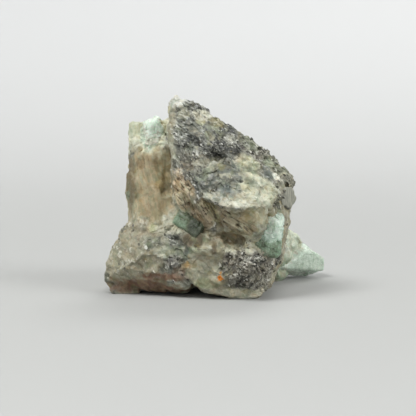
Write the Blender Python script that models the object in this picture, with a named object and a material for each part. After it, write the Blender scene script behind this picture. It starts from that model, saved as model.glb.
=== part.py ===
"""Emerald in matrix: a broken hand specimen of mica schist with emerald crystals grown in it.

The specimen stands on its broken underside. +Z is up, -Y is the front, where the prow juts out.
Every length below is in millimetres and is turned into metres as the meshes are made.
"""

import math

import bmesh
import bpy
from mathutils import Matrix, Vector, noise

MM = 0.001

# Surface of the matrix
VOXEL = 0.42
MATRIX_TRIANGLES = 7000
SWELL_SIZE, SWELL_HEIGHT = 7.0, 0.4
GRAIN_SIZE, GRAIN_TILT, GRAIN_STEP = 2.8, 0.2, 0.2
FOLD_AXIS = Vector((20.0, 0.0, 30.0))
LAYER_SPACING, LAYER_HEIGHT = 1.6, 0.26

# Room between a crystal and the socket that it sits in
SOCKET_GAP = 0.3

# The blocks that the matrix broke into, each the hull of its corners
BLOCKS = {
    # The tall front mass: its face leans back from a sharp lip up to the peak
    "prow": [
        (-6.9, -7.6, 35.2), (-8.3, -7.4, 33.4), (-8.1, -8.8, 30.0), (-7.5, -10.8, 26.0),
        (-7.0, -12.3, 23.6), (-3.6, -15.2, 20.2), (-1.2, -17.0, 18.0), (1.4, -18.3, 16.6),
        (5.0, -18.9, 16.3), (9.4, -16.4, 16.8), (12.2, -11.0, 18.0), (14.6, -6.0, 20.0),
        (14.0, -5.0, 21.0), (11.5, -4.5, 22.6), (7.5, -3.5, 26.3), (2.0, -4.5, 30.4),
        (-3.0, -6.0, 33.8), (-5.9, 0.0, 32.0), (1.0, 5.0, 26.0), (8.5, 5.0, 21.0),
        (13.2, 3.0, 17.0), (-6.5, 0.0, 22.0), (4.0, -4.0, 14.0),
    ],
    # What the prow overhangs: a streaky face that falls away down and to the left
    "undercut": [
        (-7.2, -11.0, 24.0), (-7.0, -12.0, 21.0), (-2.6, -14.4, 17.2), (2.0, -15.6, 15.0),
        (0.6, -13.0, 11.2), (-3.2, -10.6, 11.4), (-6.3, -9.8, 14.5), (-6.0, 4.0, 20.0),
        (10.0, 4.0, 16.0), (5.0, 4.0, 8.0), (3.0, -12.0, 10.4),
    ],
    # A rounded lobe hangs below the right half of the lip, over a hollow
    "hanging_lobe": [
        (0.4, -16.4, 16.0), (9.2, -16.0, 16.2), (9.6, -14.6, 13.6), (7.9, -14.2, 10.6),
        (5.2, -14.8, 10.0), (2.0, -15.0, 12.4), (4.0, -16.6, 12.6), (7.4, -16.2, 12.2),
        (3.0, -6.0, 12.0), (9.0, -6.0, 12.0),
    ],
    "left_lobe": [
        (-14.9, -2.6, 30.0), (-12.4, -4.2, 30.4), (-8.6, -4.6, 31.0), (-7.5, -4.2, 26.0),
        (-6.5, -6.9, 16.0), (-9.5, -9.0, 12.0), (-13.4, -7.8, 11.6), (-15.2, -4.0, 11.6),
        (-13.7, -2.6, 21.0), (-10.6, -5.4, 22.0), (-13.4, 4.0, 27.6), (-8.0, 6.0, 29.0),
        (-13.0, 7.0, 20.0), (-14.2, 7.0, 12.0), (-6.0, 6.0, 10.0),
    ],
    "left_flank": [
        (-15.7, -5.0, 12.4), (-17.4, -6.2, 8.2), (-19.1, -6.4, 5.0), (-19.6, -5.6, 2.2),
        (-15.6, -9.4, 5.0), (-9.0, -11.2, 5.8), (-4.4, -12.0, 3.6), (-11.0, -11.2, 8.4),
        (-7.4, -11.0, 11.2), (-4.8, -12.0, 8.6), (-9.0, -6.5, 0.4), (-4.0, -7.5, 0.3),
        (-15.9, 5.0, 10.0), (-17.9, 4.0, 2.0), (-5.0, 4.0, 1.0), (-5.0, 4.0, 12.0),
        (-12.0, 4.0, 0.8),
    ],
    "left_foot": [
        (-19.4, -5.8, 3.0), (-17.8, -6.2, -0.5), (-13.4, -5.6, -0.5), (-12.0, -5.0, 3.0),
        (-18.2, 0.0, 2.0), (-16.6, -1.0, -0.5), (-13.0, -1.0, -0.5), (-14.0, 0.0, 6.0),
    ],
    "crease": [
        (-9.6, -6.6, 15.4), (-6.0, -8.4, 16.0), (-5.6, -9.8, 12.6), (-9.2, -9.2, 11.6),
        (-7.6, -10.2, 12.6), (-8.0, -3.0, 14.0), (-5.0, -3.0, 14.0),
    ],
    # A ledge below the central emerald, ending in a step to the left
    "ledge": [
        (-8.0, -10.2, 12.8), (-6.4, -11.4, 12.2), (-3.4, -13.4, 10.9), (1.6, -15.0, 10.4),
        (2.6, -14.6, 8.2), (-0.6, -14.6, 7.8), (-3.8, -13.8, 8.8), (-7.0, -8.0, 9.4),
        (3.0, -8.0, 8.0), (0.0, -9.0, 11.6),
    ],
    "lower_centre": [
        (-4.4, -12.0, 8.6), (1.5, -14.4, 8.2), (1.6, -14.4, 3.2), (-1.5, -12.6, 1.6),
        (-4.5, -11.8, 3.8), (2.0, -11.6, 0.3), (-1.0, -8.6, 0.5), (4.0, 0.0, 0.8),
        (2.5, -9.5, 11.0), (-4.0, -8.0, 11.0), (-3.0, 2.0, 0.6),
    ],
    "lower_right": [
        (2.0, -15.0, 8.9), (5.4, -15.7, 9.7), (8.6, -14.5, 8.6), (11.9, -8.6, 7.4),
        (12.1, -8.2, 5.0), (10.6, -9.6, 2.4), (7.6, -11.0, 0.0), (6.4, -9.0, -0.5),
        (2.8, -11.6, -0.1), (2.6, -8.6, -0.5), (6.0, -16.6, 5.9), (2.0, -14.6, 4.4),
        (8.0, -5.0, -0.5), (11.0, -2.0, 3.6), (3.0, -2.0, 0.6), (6.0, -8.0, 11.6),
    ],
    "right_wall": [
        (13.2, -7.6, 15.6), (14.0, -4.0, 17.4), (12.8, -9.0, 12.6), (12.5, -9.0, 9.4),
        (12.2, -8.6, 5.6), (9.6, -13.4, 16.8), (11.8, -11.2, 15.6), (11.6, -11.0, 10.0),
        (9.0, -12.4, 8.4), (13.6, 4.4, 17.6), (13.0, 6.0, 8.0), (11.4, 4.0, 3.0),
        (5.0, -2.0, 16.0), (5.0, -2.0, 2.0),
    ],
    "core": [
        (-8.0, -6.0, 14.0), (-2.0, -10.0, 13.0), (4.0, -13.4, 12.6), (8.6, -12.2, 12.4),
        (3.0, -13.6, 9.4), (8.0, -12.0, 8.0), (-2.0, -9.0, 7.0), (-6.0, -6.0, 1.2), (7.0, -6.0, 1.2),
        (7.0, 4.0, 1.0), (-6.0, 4.0, 1.0), (0.0, 2.0, 18.0),
    ],
    "back_upper": [
        (-12.8, -2.0, 27.0), (-7.0, -4.0, 32.0), (2.0, -2.0, 28.4), (10.9, -2.0, 20.0),
        (-11.6, 6.4, 24.6), (-5.0, 9.4, 23.8), (3.6, 9.6, 20.4), (10.4, 6.4, 17.4),
        (-12.6, 7.0, 12.0), (8.0, 10.0, 12.0), (12.4, -2.0, 10.0), (-13.9, -2.0, 12.0),
    ],
    "back_lower": [
        (12.6, -2.0, 8.0), (-15.0, -2.0, 10.0), (-14.6, 0.0, 2.0), (10.0, 0.0, 1.2),
        (-13.4, 7.6, 14.4), (-9.0, 12.4, 13.6), (-1.6, 15.4, 15.2), (5.4, 13.6, 14.0),
        (10.6, 12.4, 9.4), (-13.8, 10.0, 7.0), (-10.6, 12.0, 1.4), (5.0, 15.4, 1.0),
        (-5.0, 17.0, 5.0), (1.6, 18.2, 6.6), (10.4, 4.0, 15.0), (-3.0, 4.0, 19.0),
    ],
    "back_foot": [
        (-12.0, 7.0, 3.0), (-9.0, 8.0, -0.5), (-4.0, 14.0, -0.5), (-3.0, 15.5, 3.0),
        (-4.0, 8.0, -0.5), (-5.0, 6.0, 3.0),
    ],
    "rear_neck": [
        (8.0, 4.0, 13.4), (12.9, 8.0, 10.4), (14.8, 12.0, 8.4), (16.4, 13.6, 6.9),
        (16.8, 15.2, 5.2), (14.4, 17.4, 6.2), (13.2, 18.0, 2.0), (13.0, 10.0, 0.2),
        (15.6, 13.4, 1.2), (12.0, 12.0, -0.5), (8.0, 14.0, -0.5), (9.0, 9.0, -0.5),
        (5.0, 12.0, 13.0), (10.0, 19.0, 7.0), (10.5, 19.0, 1.0), (6.0, 6.0, 2.0),
    ],
}

# Deep spots in the surface: middle, radius, depth
PITS = [
    ((0.6, -13.0, 24.9), 1.7, 1.3), ((4.4, -14.6, 10.4), 2.8, 0.9), ((-8.4, -7.3, 18.4), 1.5, 0.7),
    ((0.6, -14.6, 6.8), 1.8, 0.6), ((-11.4, -10.6, 6.6), 2.2, 0.5), ((-4.3, -12.3, 15.9), 1.3, 0.7),
]

# Hexagonal beryl prisms: the middle of each prism, the way that it points, its size across the
# flats, its length, and the planes that it broke on (outward direction, distance from the middle)
EMERALDS = {
    "emerald_upper_left": [
        dict(
            middle=(-10.4, -3.2, 27.7), points=(0.14, -0.22, 1.0), across=3.3, length=6.4,
            breaks=[((-0.35, -0.1, 1.0), 2.6), ((0.9, -0.1, 0.6), 2.0)],
        ),
    ],
    "emerald_centre": [
        dict(
            middle=(-4.2, -11.0, 13.0), points=(0.76, -0.34, -0.5), across=2.5, length=5.4,
            breaks=[((-0.35, -0.92, 0.2), 1.0), ((-0.9, -0.1, 0.4), 2.3)],
        ),
    ],
    "emerald_right": [
        dict(
            middle=(9.9, -11.7, 11.9), points=(0.12, -0.1, 1.0), across=3.5, length=5.4,
            breaks=[((0.4, -0.5, 0.8), 2.3), ((-0.3, -0.9, 0.2), 1.4)],
        ),
        dict(
            middle=(9.5, -12.2, 9.2), points=(0.9, -0.3, 0.1), across=2.9, length=3.4,
            breaks=[((0.4, -0.9, -0.2), 1.3)],
        ),
    ],
    "emerald_rear": [
        dict(
            middle=(14.9, 14.1, 3.6), points=(0.8, 0.56, -0.12), across=5.0, length=10.8,
            breaks=[((0.56, 0.1, 0.82), 3.1), ((0.1, -0.7, 0.7), 2.2), ((0.4, 0.6, -0.7), 4.3)],
        ),
    ],
}

# A stack of six-sided mica sheets
MICA_BOOK = [
    dict(middle=(12.1, -6.9, 17.4), points=(0.82, -0.56, 0.1), across=3.8, length=3.6, breaks=[]),
]

COLOURS = {
    "schist": ((0.30, 0.28, 0.22), 0.75),
    "emerald": ((0.33, 0.55, 0.43), 0.35),
    "mica": ((0.22, 0.23, 0.20), 0.40),
}


def clear_scene():
    for obj in list(bpy.data.objects):
        bpy.data.objects.remove(obj, do_unlink=True)


def make_material(name):
    colour, roughness = COLOURS[name]
    material = bpy.data.materials.new(name)
    material.use_nodes = True
    surface = material.node_tree.nodes["Principled BSDF"]
    surface.inputs["Base Color"].default_value = (*colour, 1.0)
    surface.inputs["Roughness"].default_value = roughness
    surface.inputs["Metallic"].default_value = 0.0
    return material


def add_object(name, mesh, material=None):
    obj = bpy.data.objects.new(name, mesh)
    bpy.context.scene.collection.objects.link(obj)
    if material:
        mesh.materials.append(material)
    return obj


def mesh_from(bm, name):
    mesh = bpy.data.meshes.new(name)
    bmesh.ops.recalc_face_normals(bm, faces=bm.faces)
    bm.to_mesh(mesh)
    bm.free()
    return mesh


def applied(obj):
    """The object's mesh with its modifiers applied."""
    graph = bpy.context.evaluated_depsgraph_get()
    graph.update()
    return bpy.data.meshes.new_from_object(obj.evaluated_get(graph))


def add_hull(bm, corners):
    vertices = [bm.verts.new(Vector(corner) * MM) for corner in corners]
    made = bmesh.ops.convex_hull(bm, input=vertices)
    inside = made["geom_interior"] + made["geom_unused"]
    inside = {v for v in inside if isinstance(v, bmesh.types.BMVert)}
    bmesh.ops.delete(bm, geom=list(inside), context="VERTS")


def layer_height(point):
    """Schist splits along curved layers that wrap round the fold's axis, leaving small ledges."""
    across = math.hypot(point.x - FOLD_AXIS.x, point.z - FOLD_AXIS.z) + 0.25 * point.y
    across += 1.2 * noise.noise(point / 5.0)
    step = across / LAYER_SPACING
    return LAYER_HEIGHT * (step - math.floor(step) - 0.5)


def grain_height(point):
    """Each mineral grain breaks on a plane of its own."""
    grain = noise.voronoi(point / GRAIN_SIZE)[1][0]
    lean = noise.cell_vector(grain * 37.0)
    return GRAIN_TILT * (point / GRAIN_SIZE - grain).dot(lean) * GRAIN_SIZE + GRAIN_STEP * lean.z


def pit_depth(point):
    depth = 0.0
    for middle, radius, deepest in PITS:
        inward = 1.0 - (point - Vector(middle)).length / radius
        depth += deepest * min(1.0, 1.6 * max(0.0, inward))
    return depth


def roughen(mesh):
    """Moves each point along its normal, by swells, grains, layers and pits."""
    normals = [v.normal.copy() for v in mesh.vertices]
    for vertex, normal in zip(mesh.vertices, normals):
        point = vertex.co / MM
        broken = min(1.0, max(0.15, 0.6 + 1.5 * noise.noise(point / 8.0)))
        height = SWELL_HEIGHT * noise.fractal(point / SWELL_SIZE, 0.9, 2.0, 3)
        height += broken * grain_height(point) + (1.15 - broken) * layer_height(point)
        vertex.co += normal * (height - pit_depth(point)) * MM
    mesh.update()


def crystal(name, prisms, grow=0.0):
    """Broken hexagonal prisms, grown together. Grown by a clearance, they cut their own socket."""
    shapes = [add_object(name, prism_mesh(name, prism, grow)) for prism in prisms]
    for shape in shapes[1:]:
        join = shapes[0].modifiers.new("Join", "BOOLEAN")
        join.operation = "UNION"
        join.object = shape
    mesh = applied(shapes[0])
    for shape in shapes:
        bpy.data.objects.remove(shape)
    return mesh


def prism_mesh(name, prism, grow):
    radius = (prism["across"] / 2 + grow) / math.cos(math.pi / 6)
    turn = Vector(prism["points"]).to_track_quat("Z", "Y").to_matrix().to_4x4()
    bm = bmesh.new()
    bmesh.ops.create_cone(
        bm, cap_ends=True, segments=6, radius1=radius, radius2=radius,
        depth=prism["length"] + 2 * grow, matrix=turn,
    )
    for direction, distance in prism["breaks"]:
        outward = Vector(direction).normalized()
        break_off(bm, outward * (distance + grow), outward)
    place = Matrix.Translation(Vector(prism["middle"]) * MM) @ Matrix.Scale(MM, 4)
    bmesh.ops.transform(bm, matrix=place, verts=bm.verts)
    return mesh_from(bm, name)


def break_off(bm, point, outward):
    geometry = bm.verts[:] + bm.edges[:] + bm.faces[:]
    cut = bmesh.ops.bisect_plane(bm, geom=geometry, plane_co=point, plane_no=outward, clear_outer=True)
    rim = [e for e in cut["geom_cut"] if isinstance(e, bmesh.types.BMEdge)]
    if rim:
        bmesh.ops.contextual_create(bm, geom=rim)


def add_cutter(obj, cutter_mesh):
    cutter = add_object(cutter_mesh.name, cutter_mesh)
    cutter.hide_render = True
    cutter.display_type = "WIRE"
    cut = obj.modifiers.new(cutter.name, "BOOLEAN")
    cut.operation = "DIFFERENCE"
    # The rough surface touches itself in places, which this solver puts up with
    cut.solver = "MANIFOLD"
    cut.object = cutter


def make_matrix(material):
    bm = bmesh.new()
    for corners in BLOCKS.values():
        add_hull(bm, corners)
    blocks = add_object("blocks", mesh_from(bm, "blocks"))
    joined = blocks.modifiers.new("Join", "REMESH")
    joined.mode = "VOXEL"
    joined.voxel_size = VOXEL * MM
    surface = applied(blocks)
    bpy.data.objects.remove(blocks)
    roughen(surface)
    matrix = add_object("rough", surface, material)
    thin = matrix.modifiers.new("Thin", "DECIMATE")
    thin.ratio = MATRIX_TRIANGLES / (2 * len(surface.polygons))
    return matrix


def keep_largest_body(mesh):
    """Drops the chips that a socket cut free of the matrix."""
    bm = bmesh.new()
    bm.from_mesh(mesh)
    left = set(bm.verts)
    bodies = []
    while left:
        body = {left.pop()}
        edge = list(body)
        while edge:
            near = {e.other_vert(v) for v in edge for e in v.link_edges} - body
            body |= near
            edge = list(near)
        left -= body
        bodies.append(body)
    bodies.sort(key=len)
    for chip in bodies[:-1]:
        bmesh.ops.delete(bm, geom=list(chip), context="VERTS")
    bm.to_mesh(mesh)
    bm.free()


def ground_mesh():
    bm = bmesh.new()
    size = 80.0 * MM
    bmesh.ops.create_cube(bm, size=size, matrix=Matrix.Translation((0, 0, -size / 2)))
    return mesh_from(bm, "cut_ground")


def place_on_base(nodes):
    """Puts the origin at the middle of the bottom of the specimen's bounding box."""
    points = [v.co for obj in nodes for v in obj.data.vertices]
    low = [min(p[i] for p in points) for i in range(3)]
    high = [max(p[i] for p in points) for i in range(3)]
    middle = Vector(((low[0] + high[0]) / 2, (low[1] + high[1]) / 2, low[2]))
    for obj in nodes:
        obj.data.transform(Matrix.Translation(-middle))


def main():
    clear_scene()
    materials = {name: make_material(name) for name in COLOURS}
    crystals = {name: (prisms, "emerald") for name, prisms in EMERALDS.items()}
    crystals["mica_book"] = (MICA_BOOK, "mica")
    rough = make_matrix(materials["schist"])
    add_cutter(rough, ground_mesh())
    nodes = []
    for name, (prisms, slot) in crystals.items():
        nodes.append(add_object(name, crystal(name, prisms), materials[slot]))
        add_cutter(rough, crystal("socket_" + name, prisms, SOCKET_GAP))
    cut = applied(rough)
    keep_largest_body(cut)
    for cutter in [modifier.object for modifier in rough.modifiers if modifier.type == "BOOLEAN"]:
        bpy.data.objects.remove(cutter)
    bpy.data.objects.remove(rough)
    nodes.append(add_object("matrix", cut))
    place_on_base(nodes)


main()
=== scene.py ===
"""Emerald in matrix: the looks of a hand specimen of mica schist with cloudy beryl crystals in it.

Lengths are in millimetres, apart from those of a Blender object and of the stage, which are in metres.
Landmarks on the stone are written in its plan, whose origin is PLAN_ORIGIN in the frame.
"""

import math

import bpy
import numpy as np
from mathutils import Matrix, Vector
from mathutils.bvhtree import BVHTree


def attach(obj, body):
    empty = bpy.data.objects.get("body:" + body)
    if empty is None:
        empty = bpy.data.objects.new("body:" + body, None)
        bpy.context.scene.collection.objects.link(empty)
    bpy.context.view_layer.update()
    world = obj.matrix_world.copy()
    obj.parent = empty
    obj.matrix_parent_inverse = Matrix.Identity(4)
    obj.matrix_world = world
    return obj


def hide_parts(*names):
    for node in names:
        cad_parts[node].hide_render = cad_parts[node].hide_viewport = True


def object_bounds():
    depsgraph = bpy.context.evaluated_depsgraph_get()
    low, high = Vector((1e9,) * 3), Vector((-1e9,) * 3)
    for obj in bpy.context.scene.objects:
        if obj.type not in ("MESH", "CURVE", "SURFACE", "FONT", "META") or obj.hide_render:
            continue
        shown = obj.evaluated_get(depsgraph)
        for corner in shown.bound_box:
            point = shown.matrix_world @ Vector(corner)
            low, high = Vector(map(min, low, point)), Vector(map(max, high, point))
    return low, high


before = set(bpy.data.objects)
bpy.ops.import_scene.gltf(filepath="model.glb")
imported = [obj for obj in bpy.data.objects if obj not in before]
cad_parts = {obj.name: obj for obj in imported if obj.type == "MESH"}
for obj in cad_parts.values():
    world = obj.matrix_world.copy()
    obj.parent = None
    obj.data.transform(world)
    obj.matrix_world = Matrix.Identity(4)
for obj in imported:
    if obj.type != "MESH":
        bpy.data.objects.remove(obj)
cad_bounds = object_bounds()

MM = 0.001
PLAN_ORIGIN = np.array((-0.795, -0.359, 0.0))
LOW, HIGH = (np.array(corner) / MM for corner in cad_bounds)

# How finely the stone and the crystals are meshed, and the most triangles that each keeps
STONE_VOXEL, QUICK_VOXEL, CRYSTAL_VOXEL = 0.135, 0.30, 0.12
STONE_TRIANGLES, CRYSTAL_TRIANGLES = 190000, 22000

# How near to a crystal the stone is fitted to it
CRYSTAL_REACH = 1.2

# A point's share of each kind of rock: mica, fibrous, speckled with black and white grains, glassy quartz
MICA, FIBRE, SPECKLE, QUARTZ = range(4)

# Where the stone changes: a middle, radii, a colour in sRGB, and its share of each kind of rock
ZONES = [
    # The streaky lobe at the left, with painted shade down its left edge and in the crevice by the prow
    ((-11, -5.6, 20), (5, 5, 9.5), (166, 156, 132), (0, 0.6, 0, 0)),
    # Painted shade down the lobe's left edge
    ((-14.4, -4.8, 19.6), (1.1, 3, 5), (116, 109, 90), (0, 0.6, 0, 0)),
    ((-12.7, -5.6, 22.6), (0.9, 2, 2.2), (136, 124, 100), (0, 0.7, 0, 0)),
    # Painted shade in the crevice between the lobe and the prow
    ((-7.9, -5.8, 23.4), (0.8, 2.2, 3.2), (112, 103, 80), (0, 0.6, 0, 0)),
    ((-9, -6.6, 23.2), (1.6, 2.6, 3), (136, 126, 98), (0, 0.6, 0, 0)),

    # The lower left flank, and the lobe's top, whose pale colour reaches towards the prow as painted light
    # where the prow shades the lobe
    ((-14.5, -7, 7), (7, 6, 6), (158, 155, 137), (0.1, 0.35, 0.35, 0.1)),
    # Partly painted light, where the prow shades the lobe's top
    ((-11, -3, 28.6), (6, 6, 4.2), (216, 219, 199), (0.2, 0.3, 0.4, 0.2)),
    ((-14.2, -3.4, 29.4), (1.7, 2.6, 1.9), (184, 192, 170), (0.1, 0.4, 0.1, 0.2)),
    ((-10.9, -4, 27.6), (2, 2.4, 2.3), (206, 218, 200), (0, 0.1, 0.2, 0.4)),

    # The mica of the upper face, with lumps of quartz
    ((-1, -9.5, 29), (7.5, 7, 5.8), (88, 91, 88), (1, 0.2, 0, 0)),
    ((1.4, -11.2, 26.2), (5, 4.5, 2), (64, 65, 59), (1, 0.2, 0, 0)),
    ((0.4, -11.4, 27.2), (4.4, 3.4, 1.3), (70, 71, 66), (1, 0.2, 0, 0)),
    ((-2.6, -12.4, 26.8), (3, 2.6, 0.8), (66, 67, 62), (1, 0.2, 0, 0)),
    ((-4.1, -10.6, 29.6), (1.8, 2.2, 1.4), (98, 102, 94), (0.3, 0, 0, 0.6)),
    ((-0.7, -10.6, 28.2), (1.1, 1.6, 1), (98, 99, 84), (0.1, 0, 0, 0.7)),
    ((-2.2, -9, 30.6), (1, 1.5, 0.6), (140, 138, 104), (0.2, 0, 0.1, 0.4)),
    ((-0.2, -8.3, 29.8), (1.3, 1.6, 0.7), (132, 133, 118), (0.2, 0, 0.1, 0.6)),
    ((3, -7.7, 27.5), (1, 1.6, 0.9), (164, 164, 153), (1, 0.1, 0.1, 0)),
    ((5, -7.2, 26.4), (0.8, 1.6, 1.2), (92, 90, 86), (0.3, 0, 0, 0.4)),
    ((-4.2, -13.2, 23), (3, 3.6, 3.4), (114, 112, 102), (0.8, 0.3, 0, 0.1)),
    ((-4.3, -13.4, 23.2), (1, 1.6, 0.9), (98, 93, 82), (0.2, 0, 0, 0.6)),
    ((-1.2, -15.8, 20), (2.6, 2.4, 2.2), (124, 127, 124), (0.8, 0, 0.1, 0.2)),

    # The face's left edge, the peak and its rim
    ((-7.3, -10, 28.4), (1, 3, 6.2), (149, 147, 128), (0.2, 0.3, 0.1, 0.5)),
    ((-6.6, -8, 34.4), (1.9, 2, 1.3), (203, 204, 198), (0.1, 0.1, 0.3, 0.1)),
    ((-2.6, -7.9, 32.6), (2, 2.4, 0.9), (74, 74, 68), (1, 0.3, 0, 0)),
    ((-5.2, -8.8, 32.4), (1, 2, 0.8), (116, 116, 106), (0.9, 0.2, 0.1, 0)),
    ((-5.4, -10.4, 28.6), (1.6, 2.2, 2), (132, 135, 127), (0.9, 0.3, 0, 0)),
    ((-1.4, -7.4, 31.6), (2.6, 2.4, 0.9), (190, 189, 171), (0.3, 0, 0.3, 0.1)),
    ((0.8, -6.8, 30.4), (2, 2.2, 0.9), (128, 122, 82), (0.3, 0, 0.3, 0.1)),

    # The quartz and feldspar dish above the lip
    ((2.2, -15, 21.6), (4.4, 4, 3.3), (98, 101, 93), (0.1, 0, 0.1, 1)),
    ((0.1, -15, 22.6), (1.2, 1.6, 0.9), (84, 86, 74), (0.1, 0, 0, 0.8)),
    ((1.4, -14.4, 23.3), (0.7, 1.4, 1), (106, 102, 72), (0, 0, 0, 0.6)),
    ((3.4, -16.6, 19.6), (2, 1.6, 1), (118, 123, 118), (0, 0, 0.1, 1)),
    ((7.6, -14.2, 19), (4.8, 4.2, 2.7), (180, 181, 162), (0, 0, 0.1, 0.6)),
    ((3.9, -15.2, 21.2), (1.2, 1.6, 0.6), (104, 108, 102), (0.2, 0, 0.4, 0.4)),
    ((6.2, -14.4, 20.7), (1.1, 1.6, 0.7), (126, 128, 110), (0, 0, 0, 0.9)),
    ((6.3, -11.3, 23.4), (2, 2.6, 2.5), (158, 160, 136), (0, 0, 0, 0.9)),
    ((9.6, -9.3, 21.7), (1.3, 2.2, 2), (102, 107, 102), (0.1, 0, 0, 0.8)),
    ((10.9, -8.5, 21), (0.9, 1.5, 0.8), (212, 214, 202), (0, 0, 0.1, 0.5)),

    # The rest of the right rim, down to the mica book
    ((6.3, -5.6, 26.6), (2.6, 2, 1.4), (118, 121, 98), (0.6, 0.1, 0.4, 0)),
    ((10.6, -6, 22.8), (2.4, 2.4, 1.8), (112, 116, 93), (0.5, 0.1, 0.4, 0)),
    ((9.8, -6.7, 23.2), (0.9, 1.8, 1.3), (122, 130, 110), (0, 0, 0.1, 0.6)),
    ((12.6, -6.8, 20.6), (1, 1.6, 1), (184, 182, 158), (0.2, 0, 0.3, 0.1)),
    ((13.2, -5.6, 20), (2, 2.4, 1), (120, 118, 102), (0.5, 0.1, 0.2, 0)),

    # The streaked undercut, its pale lip, whose palest spots are partly painted highlights on the ridge,
    # and the lobe that hangs from it
    ((-5.2, -12.6, 18.8), (2.2, 2.6, 3.6), (204, 190, 172), (0, 1, 0, 0)),
    ((-1.6, -13.8, 15.2), (3.6, 3, 2.8), (148, 138, 122), (0, 1, 0, 0)),
    ((1.8, -15.6, 14.6), (2.6, 2.6, 2.2), (128, 119, 101), (0, 0.9, 0, 0)),
    # Partly painted highlight on the lip's ridge
    ((-0.6, -16.4, 18.3), (1.8, 1.4, 0.6), (186, 187, 168), (0.2, 0.1, 0.2, 0.2)),
    ((1.4, -17.4, 18.1), (1.6, 1.4, 0.7), (166, 170, 158), (0, 0, 0.1, 0.9)),
    # Partly painted highlight along the lip's ridge
    ((4.4, -18.2, 17.1), (3.2, 1.6, 0.5), (204, 204, 186), (0.1, 0.1, 0.3, 0.2)),
    ((5.6, -15.8, 13.8), (3.8, 2.6, 2.4), (116, 109, 88), (0, 0.85, 0.1, 0)),
    ((6.4, -16.2, 15), (1.6, 1.6, 1.3), (146, 141, 116), (0, 0.6, 0.1, 0.1)),
    ((7.9, -15.6, 14.6), (1, 2, 2), (176, 174, 152), (0, 0.3, 0.2, 0.1)),
    ((7.4, -15, 11.6), (0.8, 1.4, 0.7), (178, 178, 162), (0, 0, 0.3, 0.4)),

    # The hollows under that lobe, whose dark browns are partly painted shade, and the swell below them
    # Partly painted shade: the hollow under the hanging lobe
    ((3.2, -13.4, 10.8), (2.8, 2.4, 1.4), (118, 110, 88), (0, 0.5, 0.3, 0)),
    # Partly painted shade: the hollow at the foot of the undercut
    ((-3.2, -12, 12.6), (2.6, 2.2, 1.7), (104, 97, 80), (0, 0.4, 0, 0)),
    ((-3, -12.8, 10.3), (3.2, 2.4, 1.6), (84, 76, 58), (0, 0.3, 0, 0)),
    ((-1.2, -13.2, 5.2), (3.2, 3, 3.8), (156, 154, 134), (0, 0.2, 0.1, 0.5)),
    ((-1, -12.9, 2.8), (2.4, 2, 1), (132, 134, 106), (0, 0.3, 0.1, 0.3)),
    # Partly painted shade, in a small hollow
    ((0.1, -14.8, 9.2), (0.6, 1.6, 1.5), (112, 104, 85), (0, 0.3, 0.4, 0)),

    # The lower left flank's patches
    ((-9.6, -10.8, 9.8), (2.2, 1.8, 1.2), (134, 136, 120), (0, 0.1, 0.5, 0.3)),
    ((-8.8, -11.4, 8.2), (1.8, 1.8, 1.1), (164, 167, 153), (0, 0.1, 0.2, 0.7)),
    ((-5, -11.8, 8.4), (2.8, 1.8, 1.3), (112, 117, 108), (0, 0.1, 0, 0.9)),
    ((-3.6, -13.1, 8.6), (1.1, 1.4, 0.7), (142, 152, 128), (0, 0, 0, 0.8)),
    ((-6.1, -11.8, 4.7), (1.3, 1.6, 1), (94, 80, 66), (0.1, 0.1, 0.4, 0)),
    ((-4.6, -12.1, 5.8), (1, 1.3, 0.5), (144, 128, 96), (0, 0.2, 0.1, 0)),
    ((-7.1, -11.4, 6.8), (1.2, 1.8, 1.2), (112, 110, 106), (0.2, 0, 0.7, 0)),
    ((-11.2, -10.4, 9.3), (0.7, 1.6, 1.2), (62, 70, 50), (0.1, 0, 0.5, 0.2)),
    ((-12.4, -8, 13.2), (1.2, 1.6, 0.8), (192, 186, 164), (0, 0.1, 0.4, 0.1)),
    ((-10.4, -8.6, 12), (0.9, 1.6, 0.8), (190, 188, 152), (0, 0.1, 0.4, 0.1)),

    # The underside at the left: its dark reddish brown is painted shade with a painted warm reflection,
    # over the rock's own brown
    ((-11, -7.4, 1.5), (8.5, 4, 1.5), (120, 93, 78), (0, 0.4, 0.1, 0)),
    ((-8.4, -10.4, 3.6), (4.4, 2.6, 0.8), (120, 92, 78), (0, 0.4, 0.1, 0)),

    # The speckled lump at the lower right, and its foot, whose pale colour is painted light where the
    # floor shades it
    ((7, -13.4, 5.2), (5.4, 5, 4.2), (124, 120, 108), (0.3, 0, 1, 0)),
    ((2.4, -15, 7.4), (1, 1.8, 1.4), (84, 78, 66), (0.1, 0.1, 0.9, 0)),
    ((7.1, -15.4, 7.2), (1.7, 1.8, 1.2), (92, 92, 82), (0.3, 0, 1, 0)),
    ((11.2, -10.2, 7.2), (0.9, 1.8, 1.4), (92, 92, 82), (0.3, 0, 1, 0)),
    # Painted light: the foot is paler than the rock to offset the floor's shade
    ((3.4, -12.6, 1), (6, 3, 0.9), (214, 208, 188), (0, 0.1, 0.2, 0.3)),

    # The right wall, and the rear crystal's neck, whose pale colour is painted light on its face turned up
    # to the light
    ((12.4, -8, 12.6), (1.8, 4, 5), (151, 146, 124), (0.2, 0.3, 0.4, 0)),
    ((8, -14.4, 12), (1.5, 2, 1.5), (140, 139, 126), (0.1, 0.1, 0.4, 0.1)),
    # Painted light on the neck's upturned face
    ((14.2, 11.8, 6.6), (4.4, 5.4, 3.8), (214, 222, 206), (0, 0.2, 0.1, 0.4)),
    ((13.6, 11.6, 2.4), (3.4, 5, 2.6), (158, 174, 154), (0, 0.2, 0.1, 0.4)),
]

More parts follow.
